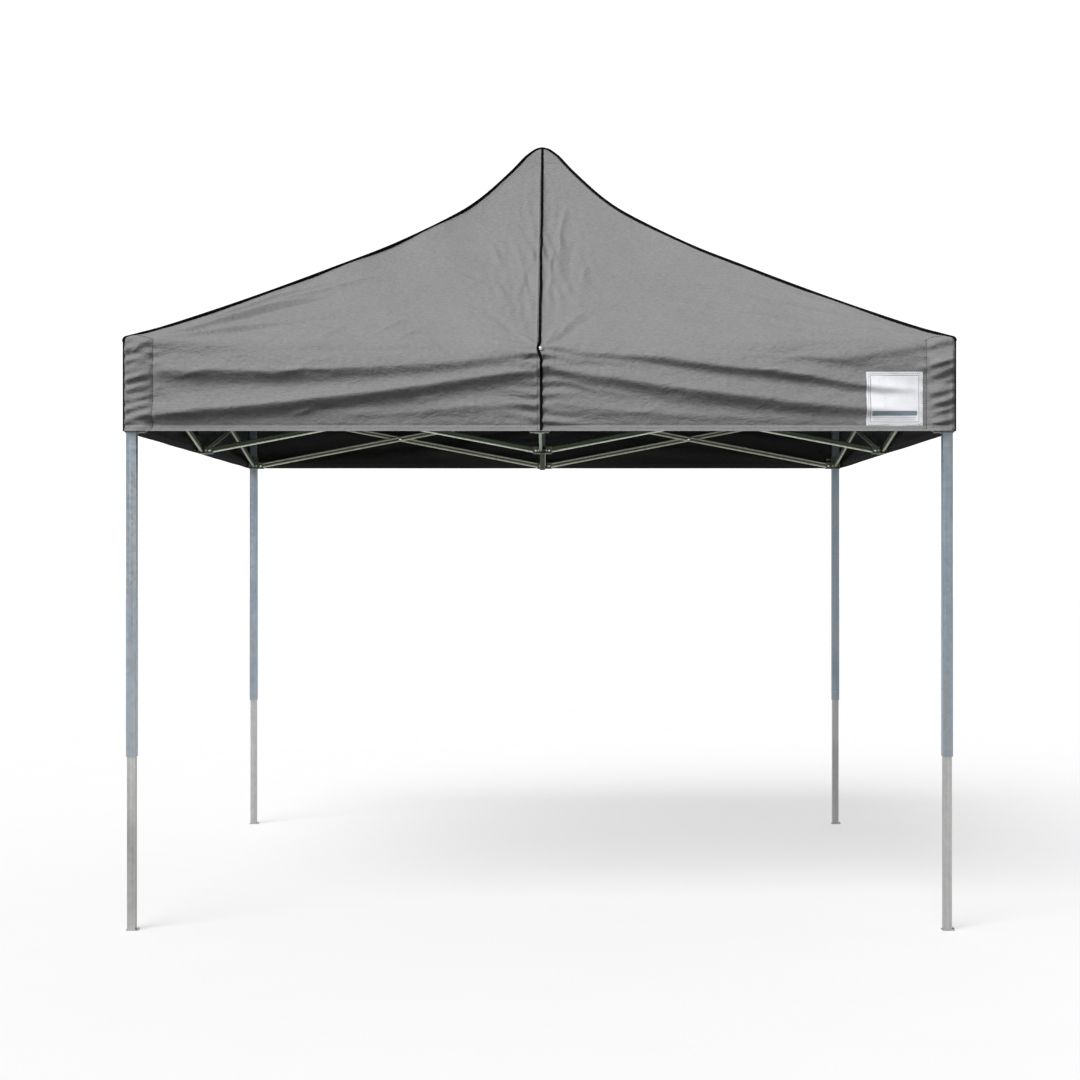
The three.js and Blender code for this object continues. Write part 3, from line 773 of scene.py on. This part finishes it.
def pressed_steel(name, color, roughness):
    """Plated pressed steel: mottled plating, grime in patches and fine pits."""
    look = Look(name, color, roughness, 0.75)
    mottle = look.noise(look.place(), 55.0, 5.0, 0.6)
    pits = look.noise(look.place(), 420.0, 3.0, 0.6)
    dirt = look.spread(look.noise(look.place(), 16.0, 4.0), 0.5, 0.72, 0.0, 0.55)
    paint = look.tint(scaled(color, 0.75), scaled(color, 1.25), look.vary(mottle))
    paint = look.tint(paint, scaled(color, 0.35), dirt)
    rough = look.vary(mottle, roughness - 0.08, roughness + 0.12)
    return look.paint(paint, rough, [(mottle, 0.25, 0.0006), (pits, 0.2, 0.0003)])


def bright_metal(name, color, roughness):
    look = Look(name, color, roughness, 1.0)
    turned = look.noise(look.place(), 300.0, 3.0)
    paint = look.tint(scaled(color, 0.85), scaled(color, 1.1), look.vary(turned))
    return look.paint(paint, look.vary(turned, roughness, roughness + 0.12), [(turned, 0.15, 0.0002)])


def moulded(name, color, roughness):
    look = Look(name, color, roughness)
    grain = look.noise(look.place(), 500.0, 3.0)
    wear = look.noise(look.place(), 30.0, 4.0)
    paint = look.tint(color, scaled(color, 1.8), look.spread(wear, 0.45, 0.75))
    return look.paint(paint, look.vary(wear, roughness - 0.08, roughness + 0.1), [(grain, 0.3, 0.0003)])


def piping_tape(name, color):
    """Black woven tape over a cord: short ribs across it."""
    look = Look(name, color, 0.80, Specular_IOR_Level=0.0)
    ribs = look.noise(look.place((260, 260, 260)), 1.0, 3.0)
    wear = look.noise(look.place(), 12.0, 4.0)
    paint = look.tint(color, scaled(color, 2.2), look.spread(wear, 0.45, 0.75))
    return look.paint(paint, look.vary(wear, 0.42, 0.58), [(ribs, 0.5, 0.0005)])


def label_cloth():
    """A plain white sewn patch: a printed border, one band and two rules, with no lettering."""
    look = Look("label_cloth", (0.90, 0.91, 0.94), 0.5, Sheen_Weight=0.1)
    uv = look.node("UVMap", uv_map="cloth").outputs["UV"]
    split = look.node("SeparateXYZ", {"Vector": uv})
    x, y = split.outputs["X"], split.outputs["Y"]

    def inside(value, middle, half):
        away = look.math("ABSOLUTE", look.math("SUBTRACT", value, middle))
        return look.spread(away, half, half - 0.004, 0, 1)

    def box(cx, cy, hx, hy):
        return look.math("MULTIPLY", inside(x, cx, hx), inside(y, cy, hy))

    frame_line = look.math("SUBTRACT", box(0.5, 0.5, 0.44, 0.44), box(0.5, 0.5, 0.43, 0.43), clamp=True)
    paint = look.tint((0.90, 0.91, 0.94), (0.16, 0.17, 0.22), frame_line)
    paint = look.tint(paint, (0.20, 0.26, 0.30), box(0.5, 0.23, 0.40, 0.045))
    for height in (0.145, 0.105):
        paint = look.tint(paint, (0.33, 0.35, 0.38), box(0.5, height, 0.38, 0.007))
    stain = look.noise(look.place(), 22.0, 4.0)
    paint = look.tint(paint, (0.55, 0.55, 0.60), look.spread(stain, 0.52, 0.75, 0, 0.35))
    weave = look.noise(look.place((900, 900, 900)), 1.0, 2.0)
    wrinkle = look.noise(look.place(), 26.0, 4.0)
    return look.paint(paint, None, [(wrinkle, 0.5, 0.004), (weave, 0.2, 0.0002)])


CLOTH = woven_cloth("canopy_polyester", (0.246, 0.246, 0.250), 0.80, 0.85, 0.12)
LINING = woven_cloth("coated_lining", (0.12, 0.12, 0.121), 0.85, 0.30, 0.03)
CROWN = woven_cloth("crown_polyester", (0.236, 0.236, 0.240), 0.80, 0.65, 0.12, uv=False)
TAPE = piping_tape("piping_tape", (0.006, 0.006, 0.0075))
THREAD = moulded("sewing_thread", (0.026, 0.026, 0.028), 0.7)
LABEL = label_cloth()
# the leg's bluish colour and its blue patches are a painted reflection of the sky
LEG = galvanised("galvanised_leg", (0.30, 0.333, 0.362), 0.36, 1.0, 0.05, 0.6)
INNER_LEG = galvanised("rubbed_inner_leg", (0.42, 0.42, 0.415), 0.42, 1.3, 0.25)
# painted light: one bar steel in three copies, made brighter or darker for how the bars face the view, each
# with a painted highlight on its edges and painted shade on its side
BARS = bar_steel("galvanised_bar", (0.52, 0.54, 0.44), (0.10, 0.12, 0.08), 0.30, 0.34, 0.68)
LIT_BARS = bar_steel("galvanised_front_bar", (0.66, 0.71, 0.60), (0.075, 0.10, 0.06), 0.24, 0.28, 0.97)
SHADED_BARS = bar_steel("galvanised_side_bar", (0.30, 0.34, 0.25), (0.045, 0.06, 0.035), 0.24, 0.28, 0.97)
POLE_STEEL = galvanised("pole_steel", (0.13, 0.155, 0.115), 0.5, 0.8, 0.05)
BRACKETS = pressed_steel("plated_bracket", (0.16, 0.185, 0.14), 0.46)
BRIGHT = bright_metal("bright_steel", (0.75, 0.75, 0.76), 0.22)
PLASTIC = moulded("black_nylon", (0.018, 0.018, 0.019), 0.5)

NODE_LOOKS = {
    "outer_leg": LEG, "inner_leg": INNER_LEG, "lock_pin": BRIGHT,
    "centre_pole": POLE_STEEL, "pole_cap": PLASTIC,
}
for name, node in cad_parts.items():
    material = BARS if "_bar_" in name else BRACKETS
    for start, look in NODE_LOOKS.items():
        if name.startswith(start):
            material = look
    node.data.materials.clear()
    node.data.materials.append(material)

# ---- bars --------------------------------------------------------------------
# Each bar is a drawn tube with rolled edges and a groove in both sides: (half thickness, height) from below.

BAR_SIDE = [
    (0.0022, -0.0125), (0.0042, -0.0120), (0.0055, -0.0108), (0.0060, -0.0092), (0.0060, -0.0048),
    (0.0048, -0.0034), (0.0048, 0.0034), (0.0060, 0.0048), (0.0060, 0.0092), (0.0055, 0.0108),
    (0.0042, 0.0120), (0.0022, 0.0125),
]
BAR_PROFILE = np.array(BAR_SIDE + [(-t, h) for t, h in BAR_SIDE[::-1]])
BAR_HEIGHT = 0.025
BAR_END = 0.0025  # the ends taper over this length, to this share of the size
BAR_END_SIZE = 0.80


def bar_look(name):
    """Painted lit and shaded copies of one steel: the bars that cross the view are brighter than the ones
    that run away from it.
    """
    if name.startswith("cross"):
        return SHADED_BARS if name.endswith(("front", "rear")) else LIT_BARS
    if "bar_front" in name:
        return LIT_BARS
    return BARS if "bar_rear" in name else SHADED_BARS


def bar_frame(node):
    """A CAD bar's middle, its two ends as distances from there, and the directions along, across and up."""
    p = np.array([v.co for v in node.data.vertices])
    low, high = p.min(axis=0), p.max(axis=0)
    middle = (low + high) / 2
    spread = p - middle
    along = np.linalg.svd(spread, full_matrices=False)[2][0]
    across = np.cross(along, (0, 0, 1))
    across /= np.linalg.norm(across)
    up = np.cross(across, along)
    up *= np.sign(up[2])
    reach = spread @ along
    return middle, reach.min(), reach.max(), along, across, up


bars = {name: bar_frame(node) for name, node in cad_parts.items() if "_bar_" in name}
for name, (middle, start, end, along, across, up) in bars.items():
    stations = [(start, BAR_END_SIZE), (start + BAR_END, 1), (end - BAR_END, 1), (end, BAR_END_SIZE)]
    points, uv = [], []
    for distance, size in stations:
        for t, h in BAR_PROFILE * size:
            points.append(middle + along * distance + across * t + up * h)
            uv.append((distance, h / BAR_HEIGHT + 0.5))
    faces = loft_faces(len(stations), len(BAR_PROFILE))
    bar = make_mesh(name + "_tube", points, faces, [bar_look(name)], uv=uv, smooth=False)
    fix_facing(bar)
    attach(bar, name)
    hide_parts(name)

# ---- cloth pieces ------------------------------------------------------------


def on_valance(obj, side):
    """Rides on the side's upper bracket, with a mesh of its own."""
    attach(obj, f"upper_bracket_{SIDES[side]}")
    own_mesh(obj)


def on_roof(obj, side, half=1):
    """Swings in with the side of the canopy, with a mesh of its own. half is not used."""
    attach(obj, f"canopy_{SIDES[side]}")
    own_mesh(obj)


def thread_piece(name, lines, quarters):
    points, faces = merged([stitches(*line) for line in lines])
    return fix_facing(make_mesh(name, turn(points, quarters), faces, [THREAD], smooth=False))


SEAM_STITCH, HIP_STITCH = 0.0085, 0.0095  # from the middle seam and from the hip
# the corner seam's stitches are real, but they are made close and thick so that the dark thread also paints
# the shade in the gap of the lapped seam
HEAVY_STITCH = (0.0075, 0.0010, 0.0017)  # length, gap and radius, for the corner seam

sides = [Side(number) for number in range(4)]
for number, (side, cloth) in enumerate(zip(SIDES, sides)):
    middle = len(cloth.along) // 2
    edge = cloth.strip_row
    grids = (cloth.points, cloth.normal, cloth.outward, cloth.flat)
    for half, word in ((-1, "a"), (1, "b")):
        columns = slice(0, middle + 1) if half < 0 else slice(middle, None)
        low, high = slice(0, edge + 1), slice(edge, None)

        valance, roof = (
            make_sheet(name, *(grid[rows, columns] for grid in grids), [CLOTH, LINING], number)
            for name, rows in ((f"valance_{side}_{word}", low), (f"roof_{side}_{word}", high))
        )

        # stitching: two rows on the hem, the corner seam and its end on the roof, the middle seam, the hip
        along = np.linspace(0.006, 0.996, 260) * half
        hem_q = HEM + HEM_LINE - eave_height(along)
        seam_q = np.linspace(HEM + 0.002 - 2.128, 0.0, 80)
        middle_q = np.linspace(HEM + 0.002 - MIDDLE, 0.10, 60)
        over_q = np.linspace(0.0, 0.09, 20)
        corner_line = half * CORNER_SEAM / HALF
        toward_hip = half * (1 - abs(corner_line)) * over_q / 0.11
        low_thread = thread_piece(f"stitching_low_{side}_{word}", [
            cloth.at(along, hem_q),
            cloth.at(along, hem_q - HEM_LINE / 2),
            cloth.at(np.full(len(seam_q), corner_line), seam_q) + HEAVY_STITCH,
            cloth.at(corner_line + toward_hip, over_q * 0.3) + HEAVY_STITCH,
            cloth.at(np.full(len(middle_q), half * SEAM_STITCH / HALF), middle_q),
        ], number)
        roof_q = np.linspace(0.13, 1.45, 90)
        roof_half = HALF - roof_q / ROOF_PER_RUN  # half the roof's width at each height
        high_lines = [
            cloth.at(half * SEAM_STITCH / roof_half, roof_q),
            cloth.at(half * (1 - HIP_STITCH / roof_half), roof_q),
        ]
        high_thread = thread_piece(f"stitching_high_{side}_{word}", high_lines, number)

        on_valance(valance, number)
        on_valance(low_thread, number)
        on_roof(roof, number, half)
        on_roof(high_thread, number, half)
        corner = CORNERS[(number + (1 if half > 0 else 0)) % 4]
        if half < 0:
            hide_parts(f"canopy_{side}")

# ---- piping ------------------------------------------------------------------

SEAM_STEP = 0.006
EAVE_ENDS = 1.46  # the roof is nearer the middle than this
for number, (side, cloth) in enumerate(zip(SIDES, sides)):
    middle = len(cloth.along) // 2
    edge = cloth.strip_row
    # the middle seam: it steps a little to the right below the rivet, as a sewn seam does
    seam = cloth.points[:, middle] + cloth.normal[:, middle] * (PIPING * 0.55)
    below = ramp(RIVET_Z - 0.012 - seam[:, 2], 0.03)
    at_rivet = bell(seam[:, 2] - RIVET_Z, 0.018) * (seam[:, 1] < -EAVE_ENDS)
    seam[:, 0] += SEAM_STEP * (below - at_rivet)
    # the hip on the right of each side, and the corner below it
    hip = cloth.points[:, -1].copy()
    hip[:, 2] += 0.0032 * ramp(hip[:, 2] - CORNER, 0.02)
    hip_radius = np.where(hip[:, 2] < CORNER - 0.01, PIPING * 0.62, PIPING * 1.15)
    corner = CORNERS[(number + 1) % 4]
    ends = (("low", slice(0, edge + 1), on_valance), ("high", slice(edge, None), on_roof))
    for name, line, radius in ((f"seam_piping_%s_{side}", seam, np.full(len(seam), PIPING)),
                               (f"hip_piping_%s_{corner}", hip, hip_radius)):
        for word, rows, hang in ends:
            hang(make_tube(name % word, turn(line[rows], number), radius[rows], TAPE), number)

# ---- the crown patch on the pole's head --------------------------------------

RINGS, SPOKES = 22, 64


def patch_reach(inward, shape):
    """Distance from the pole: shape gives the outline at the patch's edge, and on the head it is round."""
    blend = ramp(inward - 0.955, 0.03)
    return HALF * (1 - inward) * (shape * (1 - blend) + 1.12 * blend)


spoke = np.arange(SPOKES) * 2 * np.pi / SPOKES
square = 1 / np.maximum(np.abs(np.cos(spoke)), np.abs(np.sin(spoke)))
along = np.where(np.abs(np.cos(spoke)) > np.abs(np.sin(spoke)), np.tan(spoke), 1 / np.tan(spoke + 1e-9))
outer = []
for inward in np.linspace(PATCH_FROM - 0.003, 1.0, RINGS + 1)[:-1]:
    reach = patch_reach(inward, square)
    lift = 0.0004 + 0.0018 * ramp(inward - PATCH_FROM, 0.012)
    height = roof_height(np.full(SPOKES, inward), np.clip(along, -1, 1)) + lift
    outer.append(np.stack([reach * np.cos(spoke), reach * np.sin(spoke), height], -1))
outer = np.vstack([*outer, [[0, 0, TOP + 0.0015]]])
count = len(outer)
skin = loft_faces(RINGS, SPOKES)[:-2]  # open at both ends: a fan closes the top
skin += [[(RINGS - 1) * SPOKES + j, (RINGS - 1) * SPOKES + k, count - 1] for j, k in around(SPOKES)]
under = [[count + v for v in face[::-1]] for face in skin]
rim = [[k, j, count + j, count + k] for j, k in around(SPOKES)]
slots = [0] * len(skin) + [1] * len(under) + [0] * len(rim)
layers = np.vstack([outer, outer - [0, 0, CLOTH_THICK]])
crown = make_mesh("crown_patch", layers, skin + under + rim, [CROWN, LINING], slots)
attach(crown, "pole_top")

for number in range(4):
    for word, share, radius in (("hip", 1.0, PIPING * 1.1), ("seam", 0.0, PIPING)):
        angle = -math.pi / 2 + share * math.pi / 4
        line = []
        for inward in np.linspace(PATCH_FROM - 0.002, 0.999, 24):
            reach = patch_reach(inward, math.sqrt(1 + share))
            height = roof_height(np.array(inward), np.array(share)) + 0.0035
            line.append((reach * math.cos(angle), reach * math.sin(angle), height))
        cord = make_tube(f"crown_piping_{word}_{SIDES[number]}", turn(line, number), radius, TAPE)
        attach(cord, "pole_top")

# ---- rivets in the middle of each side, and the label ------------------------


def fitting(name, body, parts):
    """A small piece of bright steel, made of turned parts, that rides on a body."""
    points, faces = merged(parts)
    piece = fix_facing(make_mesh(name, points, faces, [BRIGHT]))
    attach(piece, body)


# turned outlines: (radius, height)
WASHER = [(0.0015, -0.004), (0.0078, -0.004), (0.0084, 0.0006), (0.0078, 0.0014), (0.0062, 0.0016)]
DOME = [(0.0062, 0.0020), (0.0061, 0.0040), (0.0052, 0.0060), (0.0034, 0.0074), (0.0012, 0.0080)]
PIN_HEAD = [(0.0062, 0), (0.0062, 0.0008), (0.0055, 0.0021), (0.0038, 0.0031), (0.0014, 0.0035)]
BOLT_HEAD = [(0.0070, 0), (0.0070, 0.0012), (0.0062, 0.0026), (0.0040, 0.0036), (0.0014, 0.0040)]
BUTTON = [(0.0041, 0.0), (0.0041, 0.0024), (0.0036, 0.0032), (0.0022, 0.0038), (0.0008, 0.0040)]

for number, (side, cloth) in enumerate(zip(SIDES, sides)):
    place, normal = cloth.at(np.array([0.002 / HALF]), np.array([RIVET_Z - 0.004 - MIDDLE]))
    place, normal = place[0] + normal[0] * PIPING * 0.8, normal[0]
    points, faces = lathe_shape(WASHER + DOME, 20, place, normal)
    fitting(f"rivet_{side}", f"upper_bracket_{side}", [(turn(points, number), faces)])

LABEL_X = np.array([1.176, 1.379])
LABEL_Z = np.array([1.820, 2.014])
LABEL_GRID = (40, 38)
front = sides[0]
label_x, label_z = np.meshgrid(np.linspace(*LABEL_X, LABEL_GRID[0]), np.linspace(*LABEL_Z, LABEL_GRID[1]))
places, directions = front.at(label_x / HALF, label_z - eave_height(label_x / HALF))
gx, gz = np.meshgrid(np.linspace(0, 1, LABEL_GRID[0]), np.linspace(0, 1, LABEL_GRID[1]))
rim = np.minimum(np.minimum(gx, 1 - gx), np.minimum(gz, 1 - gz))
puff = 0.0016 + 0.0016 * ramp(rim, 0.08) + 0.0009 * np.sin(9 * gx + 5 * gz) * np.sin(7 * gz + 1)
points, flat = places + directions * puff[..., None], np.stack([gx, gz], -1)
label = make_sheet("label_patch", points, directions, directions, flat, [LABEL, LABEL], 0, thick=0.0009)
on_valance(label, 0)
inset = 0.03
ring = np.array([(inset, inset), (1 - inset, inset), (1 - inset, 1 - inset), (inset, 1 - inset)])
border = []
for start, end in zip(ring, np.roll(ring, -1, axis=0)):
    spot = start + np.linspace(0, 1, 40)[:, None] * (end - start)
    x, z = LABEL_X[0] + spot[:, 0] * np.ptp(LABEL_X), LABEL_Z[0] + spot[:, 1] * np.ptp(LABEL_Z)
    p, n = front.at(x / HALF, z - eave_height(x / HALF))
    border.append((p + n * 0.0030, n))
label_thread = thread_piece("label_stitching", border, 0)
on_valance(label_thread, 0)

# ---- small metal parts on the frame ------------------------------------------

LEG_AT = 1.472  # the middle of a leg, along X and along Y
UPPER_Z = 2.082  # pins of the upper brackets and hub
LOWER_Z = 1.812  # pins of the sliders, lower brackets and lower hub
CHEEK = 0.0162  # from the middle of a pin to the outside of its bracket
PINS = {"corner": 0.036, "side": 0.022, "inner": 0.030, "hub": 0.028}  # from the middle of each bracket


def pin_heads(name, body, pins):
    """Rivet heads on both ends of each pin: (point in the middle, direction, quarter turns)."""
    parts = []
    for point, direction, quarters in pins:
        point, direction = turn(point, quarters), turn(direction, quarters)
        for way in (-direction, direction):
            parts.append(lathe_shape(PIN_HEAD, 12, point + way * CHEEK, way))
    fitting(name, body, parts)


ALONG_X, ALONG_Y = (1, 0, 0), (0, 1, 0)
for number, side in enumerate(SIDES):
    for level, z in (("upper", UPPER_Z), ("lower", LOWER_Z)):
        pins = [((x, -LEG_AT, z), ALONG_Y, number) for x in (-PINS["side"], PINS["side"])]
        pins.append(((0, PINS["inner"] - LEG_AT, z), ALONG_X, number))
        pin_heads(f"pin_heads_{level}_{side}", f"{level}_bracket_{side}", pins)
for number, corner in enumerate(CORNERS):
    for body, z in ((f"leg_{corner}", UPPER_Z), (f"slider_{corner}", LOWER_Z)):
        pins = [((PINS["corner"] - LEG_AT, -LEG_AT, z), ALONG_Y, number),
                ((-LEG_AT, PINS["corner"] - LEG_AT, z), ALONG_X, number)]
        pin_heads(f"pin_heads_{body}", body, pins)
for body, z in (("upper_hub", UPPER_Z), ("pole", LOWER_Z)):
    pin_heads(f"pin_heads_{body}", body, [((0, -PINS["hub"], z), ALONG_X, number) for number in range(4)])

# the bolt where two bars of a pair cross
BOLT_REACH = 0.0128
pairs = [(f"cross_bar_rising_{side}", f"cross_bar_falling_{side}") for side in SIDES]
pairs += [(name, name.replace("top_bar", "slide_bar")) for name in bars if name.startswith("top_bar_")]
for first, second in pairs:
    middle, across = (bars[first][0] + bars[second][0]) / 2, bars[first][4]
    parts = [lathe_shape(BOLT_HEAD, 12, middle + way * BOLT_REACH, way) for way in (-across, across)]
    fitting(f"bolt_{second}", second, parts)

# the spring button of each inner leg, in the lowest height hole
BUTTON_Z = 0.672
INNER_LEG_HALF = 0.015
for number, corner in enumerate(CORNERS):
    at, toward = turn((-LEG_AT, -LEG_AT, BUTTON_Z), number), turn(ALONG_Y, number)
    button = lathe_shape(BUTTON, 14, at + toward * (INNER_LEG_HALF - 0.0012), toward)
    fitting(f"snap_button_{corner}", f"inner_leg_{corner}", [button])

# ---- floor, light and camera -------------------------------------------------

floor_look = Look("pale_floor", (0.36, 0.36, 0.36), 0.9, Emission_Color=(1, 1, 1, 1), Emission_Strength=0.58)
speckle = floor_look.noise(floor_look.place(), 3.0, 4.0)
floor_look.paint(floor_look.tint((0.35, 0.35, 0.35), (0.37, 0.37, 0.37), speckle))
FLOOR = 60
ground = [turn((-FLOOR, -FLOOR, 0), quarters) for quarters in range(4)]
floor = make_mesh("floor", ground, [(0, 1, 2, 3)], [floor_look.material], smooth=False)
floor.visible_diffuse = False

# a white room that lights the cloth only a little, so that the lamps shape its folds
ROOM_LIGHT, ROOM_MIRRORED = 0.11, 0.52
world = bpy.data.worlds.new("studio")
bpy.context.scene.world = world
world.use_nodes = True
room = world.node_tree
background = room.nodes["Background"]
background.inputs["Color"].default_value = (1, 1, 1, 1)
rays = room.nodes.new("ShaderNodeLightPath")
strength = ROOM_LIGHT
for kind, share in (("Is Glossy Ray", ROOM_MIRRORED), ("Is Camera Ray", 1.0)):
    add = room.nodes.new("ShaderNodeMath")
    add.operation = "MULTIPLY_ADD"
    room.links.new(rays.outputs[kind], add.inputs[0])
    add.inputs[1].default_value = share
    if strength is ROOM_LIGHT:
        add.inputs[2].default_value = strength
    else:
        room.links.new(strength, add.inputs[2])
    strength = add.outputs[0]
room.links.new(strength, background.inputs["Strength"])


def lamp(name, azimuth, elevation, strength, softness=40):
    """A soft far lamp; azimuth 0 is in front of the canopy and 90 on its right."""
    light = bpy.data.lights.new(name, "SUN")
    light.energy = strength
    light.angle = math.radians(softness)
    obj = bpy.data.objects.new(name, light)
    bpy.context.scene.collection.objects.link(obj)
    a, e = math.radians(azimuth), math.radians(elevation)
    toward = Vector((math.sin(a) * math.cos(e), -math.cos(a) * math.cos(e), math.sin(e)))
    obj.rotation_euler = toward.to_track_quat("Z", "Y").to_euler()


lamp("key", -30, 42, 3.5)
lamp("right_fill", 95, 48, 0.12)
lamp("left_fill", -100, 48, 0.30)
lamp("back_fill", 170, 45, 0.30)
bpy.context.scene.view_settings.view_transform = "Standard"

camera = bpy.data.cameras.new("camera")
camera.lens = 67.6
camera.sensor_width = 36
camera.shift_x = -0.0157
camera.shift_y = 0.0176
view = bpy.data.objects.new("camera", camera)
bpy.context.scene.collection.objects.link(view)
view.location = (0.063, -8.797, 1.34)
view.rotation_euler = (math.pi / 2, 0, 0)
bpy.context.scene.camera = view
